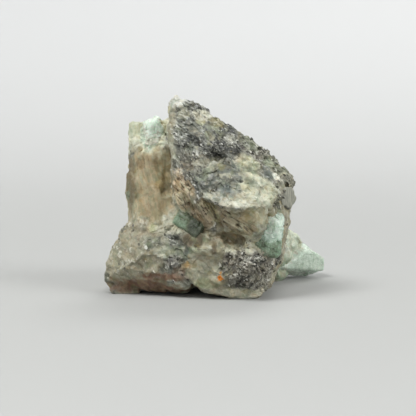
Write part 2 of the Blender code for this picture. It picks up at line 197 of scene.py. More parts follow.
# The schist's layers lie differently in each part of it: a middle, and how steeply they dip to the right
DOMAINS = [
    ((-1, -9, 29), 42), ((8, -7, 25), 40), ((-5, -13, 22), 58),
    ((0.5, -16, 20.5), 50), ((-2.5, -13.5, 16), 56), ((6, -16, 14), 35),
    ((-11.5, -6, 23), 80), ((-12, -8, 14), 84), ((-15, -7, 5), 62),
    ((-3, -12.5, 10), 38), ((-1, -13, 5), 50), ((7, -14, 5), 30),
    ((13, -6, 11), 86), ((13, 12, 6), 34), ((3, 4, 24), 40),
    ((-9, 6, 20), 74), ((0, 15, 10), 54), ((-10, 10, 5), 66),
    ((12, 3, 8), 60), ((-4, 4, 1), 48), ((8, 12, 12), 44),
]

# The middle of the mica book, and the way that its sheets face
BOOK = np.array((12.1, -6.9, 17.1))
BOOK_FACE = np.array((0.54, -0.83, 0.12)) / math.hypot(0.54, 0.83, 0.12)

# Small marks: middle, radius, colour, and how deep a hole they are
MARKS = [
    ((0.3, -12.4, 24.7), 0.95, (46, 46, 39), 0.5),
    ((-9.4, -7.2, 19.6), 0.8, (166, 146, 104), 0),
    ((-8.4, -7.2, 18.3), 0.6, (50, 47, 40), 0.3),
    ((1.25, -14.1, 3.9), 0.46, (214, 128, 30), 0),
    ((1.3, -14.2, 4.9), 0.3, (204, 138, 60), 0),
    ((-4.5, -12.1, 6.1), 0.5, (164, 138, 92), 0),
    ((-4.3, -12.2, 16), 0.7, (56, 52, 48), 0.3),
    ((-3.7, -12.4, 15), 0.6, (58, 54, 49), 0.3),
    ((-3.1, -12.6, 14), 0.4, (66, 60, 54), 0.2),
    ((-3.6, -10.8, 11.3), 0.75, (202, 202, 192), 0),
    ((4.8, -15.2, 20.8), 0.36, (42, 44, 42), 0.2),
    ((4.2, -16.8, 13.4), 0.42, (50, 46, 38), 0.3),
    ((2.7, -13.9, 7.9), 0.8, (78, 66, 54), 0.3),
    ((5.6, -16.6, 19.9), 0.55, (74, 76, 72), 0.1),
    ((-15, -4.2, 17.3), 0.8, (124, 129, 108), 0),
    ((-7.6, -11.6, 2.6), 0.6, (74, 64, 58), 0.2),
]


# -------- noise

# Odd numbers that scatter the bits of a cell's three numbers and of a seed
CELL_FACTORS = (73856093, 19349663, 83492791)
SEED_FACTOR = 2654435761
MIXING = ((15, 2246822519), (13, 3266489917))
WORD, LARGEST = np.uint64(0xFFFFFFFF), 0xFFFFFF


def lattice(cell, seed):
    """A number from 0 to 1 for each whole-numbered cell, the same on every run."""
    cell = cell.astype(np.int64).astype(np.uint64)
    bits = np.uint64(seed * SEED_FACTOR % 2**32)
    for axis, factor in enumerate(CELL_FACTORS):
        bits = bits ^ (cell[..., axis] * np.uint64(factor))
    for shift, factor in MIXING:
        bits = bits & WORD
        bits = (bits ^ (bits >> np.uint64(shift))) * np.uint64(factor)
    bits = bits & WORD
    return ((bits ^ (bits >> np.uint64(16))) & np.uint64(LARGEST)).astype(float) / LARGEST


def smooth_noise(p, seed):
    """Noise from -1 to 1 whose lumps are about one unit across."""
    base = np.floor(p)
    ease = p - base
    ease = ease * ease * ease * (ease * (ease * 6 - 15) + 10)
    total = np.zeros(len(p))
    for corner in np.ndindex(2, 2, 2):
        corner = np.array(corner)
        total += np.prod(np.where(corner == 1, ease, 1 - ease), axis=1) * lattice(base + corner, seed)
    return 2 * total - 1


def fractal(p, seed, octaves=3, gain=0.5, finer=2.03, aside=17.3):
    """Noise from -1 to 1, with finer and fainter noise over it."""
    total, size = np.zeros(len(p)), 0.0
    for octave in range(octaves):
        weight = gain**octave
        total += weight * smooth_noise(p * finer**octave + aside * octave, seed + octave)
        size += weight
    return total / size


def bend(p, seeds, octaves):
    """Three noises side by side, to push points about with."""
    return np.stack([fractal(p, seed, octaves) for seed in seeds], axis=1)


def grains(p, seed):
    """For each point: its grain's number, the way to the grain's middle, and how far its edge is."""
    base = np.floor(p)
    first, second = np.full(len(p), 9.0), np.full(len(p), 9.0)
    number, to_middle = np.zeros(len(p)), np.zeros_like(p)
    for offset in np.ndindex(3, 3, 3):
        cell = base + np.array(offset) - 1
        middle = cell + np.stack([lattice(cell, seed + k) for k in (1, 2, 3)], axis=1)
        way = middle - p
        away = np.linalg.norm(way, axis=1)
        closer = away < first
        second = np.where(closer, first, np.minimum(second, away))
        first = np.where(closer, away, first)
        number = np.where(closer, lattice(cell, seed), number)
        to_middle = np.where(closer[:, None], way, to_middle)
    return number, to_middle, second - first


def step(low, high, x):
    """0 at low and 1 at high, with a smooth rise between. It falls where low is the larger."""
    t = np.clip((x - low) / (high - low), 0, 1)
    return t * t * (3 - 2 * t)


# -------- meshes


def new_object(name, mesh):
    obj = bpy.data.objects.new(name, mesh)
    bpy.context.scene.collection.objects.link(obj)
    return obj


def shaped(name, points, polygons, material):
    """An object made from its points, in metres, and its faces."""
    mesh = bpy.data.meshes.new(name)
    mesh.from_pydata(points, [], polygons)
    mesh.update()
    mesh.materials.append(material)
    return new_object(name, mesh)


def between_rings(first, rings, around):
    """The four-sided faces between rings of points, which follow on from one another."""
    for ring in range(rings - 1):
        for i in range(around):
            a, b = first + ring * around + i, first + ring * around + (i + 1) % around
            yield a, b, b + around, a + around


def applied(obj):
    """The object with its modifiers applied."""
    graph = bpy.context.evaluated_depsgraph_get()
    graph.update()
    mesh = bpy.data.meshes.new_from_object(obj.evaluated_get(graph))
    old, obj.data = obj.data, mesh
    obj.modifiers.clear()
    if not old.users:
        bpy.data.meshes.remove(old)
    return obj


def rows(items, field, width, kind=np.float32):
    """One field of every item of a mesh, with a row for each item."""
    values = np.empty(len(items) * width, kind)
    items.foreach_get(field, values)
    return values.reshape(-1, width)


def points_of(obj):
    return rows(obj.data.vertices, "co", 3).astype(float) / MM


def normals_of(obj):
    return rows(obj.data.vertex_normals, "vector", 3).astype(float)


def edges_of(obj):
    return rows(obj.data.edges, "vertices", 2, np.int32)


def set_points(obj, points):
    obj.data.vertices.foreach_set("co", (points * MM).astype(np.float32).ravel())
    obj.data.update()


def averaged(values, edges, rounds):
    """Each point's value mixed with its neighbours' mean, some number of times."""
    values = values.copy()
    count = np.bincount(edges.ravel(), minlength=len(values)).astype(float)[:, None]
    for _ in range(rounds):
        total = np.zeros_like(values)
        np.add.at(total, edges[:, 0], values[edges[:, 1]])
        np.add.at(total, edges[:, 1], values[edges[:, 0]])
        values = 0.5 * values + 0.5 * total / np.maximum(count, 1)
    return values


def fine_copy(node, name, voxel):
    """A finely and evenly meshed copy of a CAD node."""
    obj = new_object(name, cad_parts[node].data.copy())
    obj.data.materials.clear()
    remesh = obj.modifiers.new("Fine", "REMESH")
    remesh.mode = "VOXEL"
    remesh.voxel_size = voxel * MM
    return applied(obj)


def thin_to(obj, triangles):
    have = sum(len(p.vertices) - 2 for p in obj.data.polygons)
    if have > triangles:
        thin = obj.modifiers.new("Thin", "DECIMATE")
        thin.ratio = triangles / have
        applied(obj)


def surface_of(obj):
    """A tree that finds the nearest place on the object's surface."""
    points = [v.co for v in obj.data.vertices]
    return BVHTree.FromPolygons(points, [tuple(p.vertices) for p in obj.data.polygons])


def store(obj, name, values, kind="FLOAT_COLOR"):
    """Three numbers for each point, which a material reads by their name."""
    values = np.asarray(values, np.float32)
    layer = obj.data.attributes.new(name, kind, "POINT")
    if kind == "FLOAT_COLOR":
        values = np.concatenate([values, np.ones((len(values), 1), np.float32)], axis=1)
        layer.data.foreach_set("color", values.ravel())
    else:
        layer.data.foreach_set("vector", values.ravel())


def store_shade(obj, shade):
    """One number for each point, kept as the red of a colour."""
    store(obj, "shade", np.stack([shade, shade * 0, shade * 0], axis=1))


def linear(srgb):
    """A colour from 0 to 255 in sRGB, as linear light from 0 to 1."""
    c = np.asarray(srgb, float) / 255
    return np.where(c <= 0.04045, c / 12.92, ((c + 0.055) / 1.055) ** 2.4)


# -------- the stone's make-up


def layered(plan):
    """Coordinates that follow the schist's layers: across them, down their dip, and front to back."""
    bent_edge, bent_layer, leaning_back, apart = 2.4, 0.22, 0.25, 13.7
    warp = bend(plan / 3.0, (11, 12, 13), 3)
    nearest, layers = np.full(len(plan), np.inf), np.zeros_like(plan)
    for number, (middle, dip) in enumerate(DOMAINS):
        offset = plan - np.array(middle)
        away = np.linalg.norm(offset + bent_edge * warp, axis=1)
        sine, cosine = math.sin(math.radians(dip)), math.cos(math.radians(dip))
        right, back, up = offset.T
        across = right * sine + up * cosine + leaning_back * back + bent_layer * warp[:, 0]
        down = right * cosine - up * sine
        here = np.stack([across + apart * number, down, back], axis=1)
        layers = np.where((away < nearest)[:, None], here, layers)
        nearest = np.minimum(away, nearest)
    return layers


def make_up(plan):
    """Each point's colour in linear light, and its share of mica, fibre, speckle and quartz."""
    tone, share = common_rock(plan)
    ragged = 0.44 * fractal(plan / 1.6, 41, 3) + 0.20 * fractal(plan / 0.5, 51, 2)
    for middle, radii, colour, mix in ZONES:
        away = np.linalg.norm((plan - np.array(middle)) / np.array(radii), axis=1)
        lay_over(tone, share, step(-0.27, 0.27, 1.0 - away + ragged), linear(colour), mix)
    bent = plan / 2.1 + 0.3 * bend(plan / 1.5, (43, 45, 47), 2)
    add_glass_to_mica(bent, tone, share)
    vary_grains(bent * 1.3, tone, share)
    for weight, colour, _ in marks_on(plan):
        tone += weight[:, None] * (colour - tone)
        share *= 1 - weight[:, None]
    return tone, share


def lay_over(tone, share, weight, colour, mix):
    """Mixes a colour and a make-up into those of each point."""
    tone += weight[:, None] * (colour - tone)
    share += weight[:, None] * (np.array(mix) - share)


def common_rock(plan):
    """The rock where no zone is: olive schist with ashen mica, cream and speckled patches."""
    drift = fractal(plan / 6.0, 21, 3)
    other = fractal(plan / 7.5, 31, 3)
    tone = np.tile(linear((150, 144, 120)), (len(plan), 1))
    share = np.tile(np.array((0.15, 0.36, 0.3, 0.0)), (len(plan), 1))
    for weight, colour, mix in (
        (step(0.05, 0.3, drift), (114, 117, 106), (0.9, 0.1, 0.1, 0.0)),
        (step(0.12, 0.35, other), (184, 182, 160), (0.1, 0.1, 0.3, 0.5)),
        (step(0.10, 0.35, -other), (113, 112, 98), (0.2, 0.0, 1.0, 0.0)),
    ):
        lay_over(tone, share, weight, linear(colour), mix)
    return tone, share


def add_glass_to_mica(bent, tone, share):
    """Some lumps in the mica are glassy, and a few of those are pale."""
    number, _, edge = grains(bent, 57)
    lump = (step(0.02, 0.22, edge) * step(0.60, 0.62, number) * share[:, MICA])[:, None]
    glass = linear((86, 88, 76)) + step(0.74, 0.98, number)[:, None] * linear((132, 132, 116))
    tone += 0.65 * lump * (glass - tone)
    share += 0.8 * lump * (np.array((0.1, 0.0, 0.1, 0.9)) - share)


def vary_grains(bent, tone, share):
    """Each grain of quartz and of fibrous rock is a little warmer or cooler, lighter or darker."""
    number, _, edge = grains(bent, 58)
    vary = (share[:, QUARTZ] + 0.4 * share[:, FIBRE]) * step(0.0, 0.2, edge) * 0.5
    warm = linear((222, 217, 194)) / linear((208, 208, 200))
    cool = linear((202, 208, 206)) / linear((208, 208, 200))
    shadow = 0.74 + 0.56 * (number * 7 % 1)[:, None]
    tone *= 1 + vary[:, None] * (np.where((number < 0.5)[:, None], warm, cool) * shadow - 1)


def marks_on(plan):
    """How much of each small mark there is at each point, with its colour and depth."""
    ragged = 0.45 * fractal(plan / 0.6, 61, 2)
    for middle, radius, colour, depth in MARKS:
        away = np.linalg.norm(plan - np.array(middle), axis=1) / radius
        yield step(-0.12, 0.12, 1.0 - away + ragged), linear(colour), depth


def shards(p, seed, lean, jump, crack=0.0):
    """Heights of flat-faced grains that lean and stand proud by different amounts."""
    number, way, edge = grains(p, seed)
    direction = np.stack([np.sin(number * 33), np.cos(number * 71), np.sin(number * 117)], axis=1)
    return lean * np.sum(way * direction, axis=1) + jump * (number - 0.5) - crack * step(0.12, 0.0, edge)


def relief(plan, layers, share):
    """How far each point stands out."""
    mica, fibre, speckle, quartz = share.T
    warped = plan + 0.25 * bend(plan / 1.8, (64, 66, 68), 1)
    rough = np.clip(1 - 0.7 * quartz - 1.1 * fibre, 0, 1)
    streaky = step(0.7, 0.95, fibre)

    # Broken blocks and chips, largest first
    height = (0.20 + 0.45 * rough) * shards(warped / 2.3, 81, 0.36, 0.12)
    height += quartz * shards(warped / 1.5, 83, 0.27, 0.09)
    height += mica * shards(layers * (0.30, 0.14, 0.2), 84, 0.38, 0.40)
    height += rough * shards(warped / 0.95, 86, 0.20, 0.05)

    # Streaks, crumbs and leaves
    height += fibre * (1 - 0.5 * streaky) * 0.34 * fractal(layers * (0.7, 0.08, 0.12), 71, 2)
    streaks = 0.20 * fractal(layers * (2.0, 0.6, 0.6), 76, 3)
    height += streaky * (streaks + shards(warped / 0.8, 78, 0.20, 0.10))
    height += speckle * shards(warped / 0.75, 91, 0.30, 0.24, 0.05)
    height += mica * shards(layers * (0.65, 0.30, 0.40), 96, 0.28, 0.30)
    height += mica * shards(layers * (2.2, 0.60, 0.9), 101, 0.15, 0.14)
    height += (0.12 * rough + 0.06) * fractal(plan / 0.9, 111, 3, 0.55)

    # Pits, marks, and a recess round the mica book
    height -= 0.22 * rough * step(0.36, 0.66, fractal(plan / 1.4, 121, 2))
    for weight, _, depth in marks_on(plan):
        height -= weight * depth
    around_book = np.linalg.norm(plan - BOOK - 1.6 * BOOK_FACE, axis=1)
    return height - 0.3 * step(3.0, 2.2, around_book)


# -------- materials


class Value:
    """What a node puts out: it can be added to and multiplied, and made into other values."""

    def __init__(self, look, socket):
        self.look, self.socket = look, socket

    def __add__(self, other):
        return self.look.math("ADD", self, other)

    def __sub__(self, other):
        return self.look.math("SUBTRACT", self, other)

    def __rsub__(self, other):
        return self.look.math("SUBTRACT", other, self)

    def __mul__(self, other):
        return self.look.math("MULTIPLY", self, other)

    def scaled(self, *by):
        return self.look.vector("MULTIPLY", self, by)

    def noise(self, scale, detail=3.0, rough=0.55):
        return self.look.node("TexNoise", 0, Vector=self, Scale=scale, Detail=detail, Roughness=rough)

    def voronoi(self, scale, out="Color", feature="F1"):
        return self.look.node("TexVoronoi", out, {"feature": feature}, Vector=self, Scale=scale)

    def between(self, low, high, start=0.0, end=1.0):
        """Start where the value is low, end where it is high, and a smooth change between."""
        smooth = {"interpolation_type": "SMOOTHSTEP"}
        return self.look.node("MapRange", 0, smooth, in0=self, in1=low, in2=high, in3=start, in4=end)

    def ramp(self, stops):
        """A colour for each value, from stops of a position and an sRGB colour."""
        made = self.look.node("ValToRGB", 0, in0=self)
        band = made.socket.node.color_ramp
        for element, (at, colour) in zip(band.elements, (stops[0], stops[-1])):
            element.position, element.color = at, rgb(*colour)
        for at, colour in stops[1:-1]:
            band.elements.new(at).color = rgb(*colour)
        return made

    def mix(self, factor, other, kind="MIX"):
        settings = {"data_type": "RGBA", "blend_type": kind}
        return self.look.node("Mix", 2, settings, in0=factor, in6=self, in7=other)

    def multiplied(self, by):
        return self.mix(1.0, by, "MULTIPLY")

    def screened(self, by):
        return self.mix(1.0, by, "SCREEN")

    def split(self):
        """The red, green and blue of a colour."""
        red = self.look.node("SeparateColor", 0, in0=self)
        return [Value(self.look, socket) for socket in red.socket.node.outputs]


class Look:
    """A material whose nodes are made in one line each, around a Principled BSDF."""

    def __init__(self, name):
        self.material = bpy.data.materials.new(name)
        self.material.use_nodes = True
        self.tree = self.material.node_tree
        self.surface = self.tree.nodes["Principled BSDF"]

    def put(self, socket, value):
        if isinstance(value, Value):
            self.tree.links.new(value.socket, socket)
        else:
            socket.default_value = value

    def node(self, kind, out=0, settings=None, **inputs):
        """Adds a node. An input is given by its name, or by its number as in0, in1 and so on."""
        made = self.tree.nodes.new("ShaderNode" + kind)
        for key, value in (settings or {}).items():
            setattr(made, key, value)
        for key, value in inputs.items():
            key = key.replace("_", " ")
            self.put(made.inputs[int(key[2:]) if key.startswith("in") else key], value)
        return Value(self, made.outputs[out])

    def attribute(self, name, out="Color"):
        return self.node("Attribute", out, {"attribute_name": name})

    def place(self):
        """The place on the object, in millimetres."""
        return self.node("TexCoord", "Object").scaled(1 / MM, 1 / MM, 1 / MM)

    def math(self, kind, a, b, clamp=False):
        return self.node("Math", 0, {"operation": kind, "use_clamp": clamp}, in0=a, in1=b)

    def vector(self, kind, a, b=(0, 0, 0)):
        return self.node("VectorMath", 0, {"operation": kind}, in0=a, in1=b)

    def set(self, **inputs):
        """Sets the shader's own inputs, and gives the finished material."""
        for key, value in inputs.items():
            self.put(self.surface.inputs[key.replace("_", " ")], value)
        return self.material


def rgb(r, g, b):
    """An sRGB colour as a shader takes it."""
    return (*linear((r, g, b)), 1)


def schist_look():
    look = Look("schist")
    place = look.place()
    layers = look.attribute("layers", "Vector")
    mica, fibre, speckle = look.attribute("share").split()
    quartz, hollow, _ = look.attribute("form").split()
    tone = look.attribute("tone")

    colour = mottled(tone, place, mica)
    colour, threads = fibrous(colour, layers, fibre)
    colour, grain = speckled(look, colour, place, speckle)
    colour, scales, some_mica = scaly(colour, place, layers, mica, tone.split()[1])
    colour = glassy(colour, place, quartz)
    # Painted shade darkens the hollows, and convex edges are worn pale
    colour = hollow_shade_and_worn_edges(look, colour, hollow, fibre, quartz)

    # Each scale leans its own way, so some of them catch the light
    lean = look.vector("SUBTRACT", scales, (0.5, 0.5, 0.5))
    lean = look.node("VectorMath", 0, {"operation": "SCALE"}, in0=lean, Scale=some_mica)
    leaned = look.vector("NORMALIZE", look.vector("ADD", look.node("NewGeometry", "Normal"), lean))

    height = place.noise(2.6, 5, 0.62) * 0.8
    height += threads * fibre
    height += grain * speckle * 0.4
    height += scales.split()[0] * mica * 0.3
    height = height * (1.0 - quartz * 0.6)
    bump = look.node("Bump", 0, Strength=0.65, Distance=0.00018, Height=height, Normal=leaned)

    rough = 0.74 - some_mica * 0.42
    rough = look.math("SUBTRACT", rough, quartz * 0.34, clamp=True)
    return look.set(Base_Color=colour, Roughness=rough, Normal=bump, Specular_IOR_Level=0.5)


def mottled(colour, place, mica):
    """Pale, dark, green, rusty, cold, warm and olive patches."""
    mottle = place.noise(0.55, 5, 0.62)
    colour = colour.mix(mottle.between(0.54, 0.68, 0, 0.34), rgb(214, 210, 190))
    colour = colour.mix(mottle.between(0.47, 0.34, 0, 0.34), rgb(84, 80, 70))
    tint = place.scaled(1, 1, 0.7).noise(0.42, 3)
    colour = colour.mix(tint.between(0.54, 0.68, 0, 0.45), rgb(134, 144, 116))
    rusty = tint.between(0.46, 0.34, 0, 0.40) * (1.0 - mica)
    colour = colour.mix(rusty, rgb(160, 147, 124))
    warmth = place.noise(1.1, 2)
    cold = colour.multiplied(rgb(226, 234, 226))
    warm = colour.multiplied(rgb(255, 246, 226))
    colour = colour.mix(warmth.between(0.50, 0.60, 0, 0.8), cold)
    colour = colour.mix(warmth.between(0.50, 0.40, 0, 0.6), warm)
    olive = place.noise(0.75, 2)
    return colour.mix(olive.between(0.62, 0.72, 0, 0.5), rgb(128, 118, 72))


def fibrous(colour, layers, fibre):
    """Bands of several hues along the layers, with pale and dark threads in them."""
    hues = layers.scaled(0.9, 0.13, 0.2).noise(1.7, 2).ramp([
        (0.34, (216, 222, 208)), (0.43, (240, 236, 220)), (0.50, (255, 245, 234)), (0.57, (246, 234, 206)),
        (0.66, (224, 229, 218)),
    ])
    hued = fibre.between(0.15, 0.5) * 0.8
    colour = colour.mix(hued, colour.multiplied(hues))
    bands = layers.scaled(0.65, 0.05, 0.10).noise(1.0, 2)
    threads = layers.scaled(3.4, 0.75, 0.8).noise(1.0, 4, 0.6)
    strong = fibre.between(0.55, 0.95)
    pale = colour.screened(rgb(118, 112, 94))
    brown = colour.multiplied(rgb(196, 182, 154))
    dark = colour.multiplied(rgb(112, 102, 92))
    for pattern, low, high, most, where, other in (
        (bands, 0.52, 0.62, 0.70, fibre, pale),
        (bands, 0.48, 0.38, 0.80, fibre, brown),
        (threads, 0.53, 0.62, 0.50, strong, pale),
        (threads, 0.47, 0.38, 0.90, strong, dark),
        (threads, 0.46, 0.34, 0.30, fibre, dark),
    ):
        colour = colour.mix(pattern.between(low, high, 0, most) * where, other)
    return colour, threads


def speckled(look, colour, place, speckle):
    """Black, grey and white mineral grains, in patches."""
    wobbled = look.vector("ADD", place, place.noise(2.2, 2))
    grain = wobbled.scaled(1, 1, 0.8).voronoi(1.5).split()[0]
    grain_colour = grain.ramp([
        (0, (34, 33, 32)), (0.28, (54, 52, 49)), (0.40, (98, 94, 86)), (0.60, (138, 132, 118)),
        (0.80, (176, 173, 160)), (1, (236, 236, 226)),
    ])
    patchy = place.noise(0.9, 3).between(0.42, 0.56)
    colour = colour.mix(speckle * (patchy * 0.85), grain_colour)
    clustered = place.noise(0.85, 4, 0.6).between(0.53, 0.60, 0, 0.75)
    clustered = clustered * speckle.between(0.3, 0.9)
    return colour.mix(clustered, colour.multiplied(rgb(118, 112, 104))), grain


def scaly(colour, place, layers, mica, brightness):
    """Mica scales, thin along the layers, darker in some patches than in others. The palest scales are
    partly painted glints.
    """
    scales = layers.scaled(3, 0.62, 1.2).voronoi(1.0)
    patch = layers.scaled(0.42, 0.20, 0.3).noise(1.0, 4, 0.62)
    shade = scales.split()[0] * 0.52
    shade += patch.between(0.36, 0.62, 0.0, 0.50)
    shade += (brightness - 0.14) * 1.3
    # The ramp's pale end is partly painted glints
    scale_colour_with_glints = shade.ramp([
        (0, (43, 44, 41)), (0.28, (73, 75, 70)), (0.50, (107, 109, 102)), (0.70, (141, 143, 133)),
        (0.86, (179, 181, 171)), (1, (226, 228, 220)),
    ])
    broken = place.noise(1.0, 4).between(0.34, 0.52)
    some_mica = mica * broken * 0.80
    return colour.mix(some_mica, scale_colour_with_glints), scales, some_mica


def glassy(colour, place, quartz):
    """Glassy quartz with pale veils."""
    veil = place.scaled(1, 1, 1.5).noise(0.65, 4, 0.55)
    clear = colour.multiplied(rgb(188, 192, 188))
    milky = colour.screened(rgb(150, 146, 124))
    colour = colour.mix(veil.between(0.50, 0.38, 0, 0.90) * quartz, clear)
    return colour.mix(veil.between(0.52, 0.66, 0, 0.85) * quartz, milky)


def hollow_shade_and_worn_edges(look, colour, hollow, fibre, quartz):
    """Painted shade in the hollows, less of it on fibre and quartz, and worn pale edges."""
    less_shade_on_fibre_quartz = look.math("MAXIMUM", fibre * 0.3, quartz * 0.5)
    # Painted shade: the hollows are darkened, browner, less so on fibre and quartz
    hollow_shade = look.math("SUBTRACT", hollow.between(0.62, 1.1, 0, 0.75), less_shade_on_fibre_quartz, clamp=True)
    colour = colour.mix(hollow_shade, colour.multiplied(rgb(140, 126, 104)))
    worn = colour.screened(rgb(104, 102, 92))
    return colour.mix(hollow.between(0.44, 0.05, 0, 0.35), worn)


def emerald_look():
    """Cloudy beryl: its first attribute holds how deep its green is, deepened further as painted shade
    where a crystal lies in shadow, then how near the rock is, and how ashen it is.
    """
    look = Look("emerald")
    place = look.place()
    deep_green_and_shade, rim, ashen = look.attribute("tint_and_shade").split()
    cloud = place.noise(0.55, 5, 0.6)
    depth = deep_green_and_shade + (cloud - 0.5) * 0.9
    colour = depth.ramp([
        (0, (212, 225, 210)), (0.25, (166, 187, 172)), (0.5, (114, 138, 112)), (0.75, (80, 91, 63)),
        (1, (40, 49, 26)),
    ])

    # Milky clouds, shadows, healed cracks and frost, fainter where the green is deep and where it is
    # darkened as painted shade
    clear = deep_green_and_shade.between(0.70, 0.25, 0.10)
    milk = place.scaled(1, 1, 0.5).noise(1.8, 6, 0.7)
    milky = milk.between(0.50, 0.68, 0, 0.45) * clear
    colour = colour.mix(milky, rgb(204, 214, 202))
    shadow = colour.multiplied(rgb(182, 198, 182))
    colour = colour.mix(milk.between(0.48, 0.34, 0, 0.55), shadow)
    crack = place.voronoi(2.1, "Distance", "DISTANCE_TO_EDGE")
    cracked = crack.between(0.10, 0.0, 0, 0.42) * clear
    colour = colour.mix(cracked, rgb(224, 232, 220))
    frosted = place.noise(4.5, 3, 0.7).between(0.54, 0.64, 0, 0.50) * clear
    colour = colour.mix(frosted, rgb(224, 233, 224))
    colour = colour.mix(ashen, rgb(206, 207, 188))

    # A crust of rock near its rim
    crust = rim * 0.30 + place.noise(1.5, 5, 0.7)
    crusted = crust.between(0.74, 0.84) * deep_green_and_shade.between(0.2, 0.8, 0.8, 0.04)
    crust_colour = place.noise(1.6, 3).ramp([(0.35, (150, 146, 124)), (0.65, (206, 206, 188))])
    colour = colour.mix(crusted, crust_colour)

    height = place.noise(2.2, 6, 0.62) + crusted * 0.4
    bump = look.node("Bump", 0, Strength=0.40, Distance=0.00014, Height=height)
    rough = place.noise(1.2, 3).between(0.35, 0.65, 0.20, 0.42)
    rough += crusted * 0.3
    rough += deep_green_and_shade.between(0.3, 0.9, 0, 0.3)
    return look.set(
        Base_Color=colour, Roughness=rough, Normal=bump, IOR=1.57, Subsurface_Weight=0.35,
        Subsurface_Radius=(0.6, 1.0, 0.8), Subsurface_Scale=0.0012,
    )


def lined(look, lines, strength, smoothest, roughest):
    """Raises fine lines on a scale or a sheet, with a gloss, and returns its shade, varied by them."""
    bump = look.node("Bump", 0, Strength=0.4, Distance=0.00006, Height=lines)
    rough = look.place().noise(2.5, 2).between(0.3, 0.7, smoothest, roughest)
    look.set(Normal=bump, Roughness=rough)
    shade = look.attribute("shade").split()[0]
    return shade + (lines - 0.5) * strength


def flake_look():
    """Scales and grains: the colour of the stone that each one lies on, lighter or darker. On the mica
    scales the palest are partly painted glints.
    """
    look = Look("flake")
    lines = look.place().scaled(1, 1, 0.3).noise(4.0, 3)
    shade = lined(look, lines, 0.4, 0.28, 0.5)
    tone = look.attribute("tone")
    dark = tone.multiplied(rgb(106, 106, 100))
    pale = tone.screened(rgb(172, 172, 162))
    colour = tone.mix(shade.between(0.45, 0.0), dark)
    colour = colour.mix(shade.between(0.55, 1.0), pale)
    return look.set(Base_Color=colour, Specular_IOR_Level=0.6)


def mica_look():
    """The mica book's sheets: each has its own shade, and a pearly gloss."""
    look = Look("mica_sheet")
    lines = look.place().scaled(1, 1, 0.12).noise(3.6, 4, 0.65)
    shade = lined(look, lines, 1.6, 0.34, 0.55)
    colour = shade.ramp([(0, (52, 52, 45)), (0.5, (101, 101, 89.5)), (1, (150, 150, 134))])
    return look.set(Base_Color=colour, Sheen_Weight=0.15, Specular_IOR_Level=0.7)


def floor_look():
    """A faintly cloudy grey, paler further off: the paler far floor and wall are painted light."""
    look = Look("backdrop")
    place = look.node("TexCoord", "Object")
    away = look.node("VectorMath", "Value", {"operation": "LENGTH"}, in0=place)
    cloud = (place.noise(6.0, 3) - 0.5) * 0.04
    value = away.between(0.05, 0.55) + cloud
    # Painted light: darker near the middle, paler towards the wall
    colour = value.ramp([(0, (170, 171, 169)), (0.45, (189, 190, 189)), (1, (207, 208, 208))])
    return look.set(Base_Color=colour, Roughness=0.9, Specular_IOR_Level=0.1)


# -------- the stone and the crystals


def make_matrix(material, crystals):
    """The schist, which closes on the crystals that sit in it, with its points and their make-up."""
    obj = fine_copy("matrix", "matrix_surface", STONE_VOXEL)
    roughen(obj, crystals)
    thin_to(obj, STONE_TRIANGLES)
    points = np.clip(points_of(obj), LOW, HIGH)
    set_points(obj, points)
    share = paint(obj, points, crystals)
    finish_stone(obj, material)
    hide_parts("matrix")
    return obj, points, share


def roughen(obj, crystals):
    """Gives the stone its relief, fainter towards its foot, and fits it to the crystals."""
    edges = edges_of(obj)
    points = averaged(points_of(obj), edges, 3)
    set_points(obj, points)
    normals = averaged(normals_of(obj), edges, 2)
    plan = points - PLAN_ORIGIN
    share = make_up(plan)[1]
    height = relief(plan, layered(plan), share)
    fibre = share[:, FIBRE]
    smoother = averaged(height[:, None], edges, 8)[:, 0]
    height += np.clip(fibre - 0.9 * step(0.7, 0.95, fibre), 0, 0.7) / 0.7 * (smoother - height)
    grounded = step(0.10, 0.9, points[:, 2])
    points = points + normals * (height * (0.2 + 0.8 * grounded))[:, None]
    points[:, 2] = np.where(grounded <= 0, np.maximum(0.0, points[:, 2] - 0.06), points[:, 2])
    for crystal in crystals:
        close_on(points, crystal)
    set_points(obj, np.clip(points, LOW, HIGH))


def paint(obj, points, crystals):
    """Stores what the schist's material reads at each point, and returns the points' make-up."""
    plan = points - PLAN_ORIGIN
    tone, share = make_up(plan)
    share[:, (MICA, SPECKLE)] *= step(0.3, 0.9, clearance(points, crystals))[:, None]
    hollow = np.sum((averaged(points, edges_of(obj), 10) - points) * normals_of(obj), axis=1)
    form = np.stack([share[:, QUARTZ], np.clip(0.5 + hollow / 0.5, 0, 1), np.zeros(len(plan))], axis=1)
    store(obj, "tone", tone)
    store(obj, "share", share[:, :QUARTZ])
    store(obj, "form", form)
    store(obj, "layers", layered(plan), "FLOAT_VECTOR")
    return share


def finish_stone(obj, material):
    """Facets stay crisp where they meet at an angle, and gentle swells stay smooth."""
    obj.data.materials.append(material)
    obj.data.shade_smooth()
    obj.data.set_sharp_from_angle(angle=math.radians(28))
    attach(obj, "root")


def near_places(points, crystal):
    """For each point near a crystal: its number, and the place, facing and distance of the surface."""
    around, surface = points_of(crystal), surface_of(crystal)
    low, high = around.min(axis=0) - CRYSTAL_REACH, around.max(axis=0) + CRYSTAL_REACH
    for i in np.flatnonzero(np.all((points > low) & (points < high), axis=1)):
        found, normal, _, away = surface.find_nearest(Vector(points[i] * MM), CRYSTAL_REACH * MM)
        if found is not None:
            yield i, found, normal, away / MM


def clearance(points, crystals):
    """How far each point lies from the nearest crystal, up to CRYSTAL_REACH."""
    clear = np.full(len(points), CRYSTAL_REACH)
    for crystal in crystals:
        for i, _, _, away in near_places(points, crystal):
            clear[i] = min(clear[i], away)
    return clear


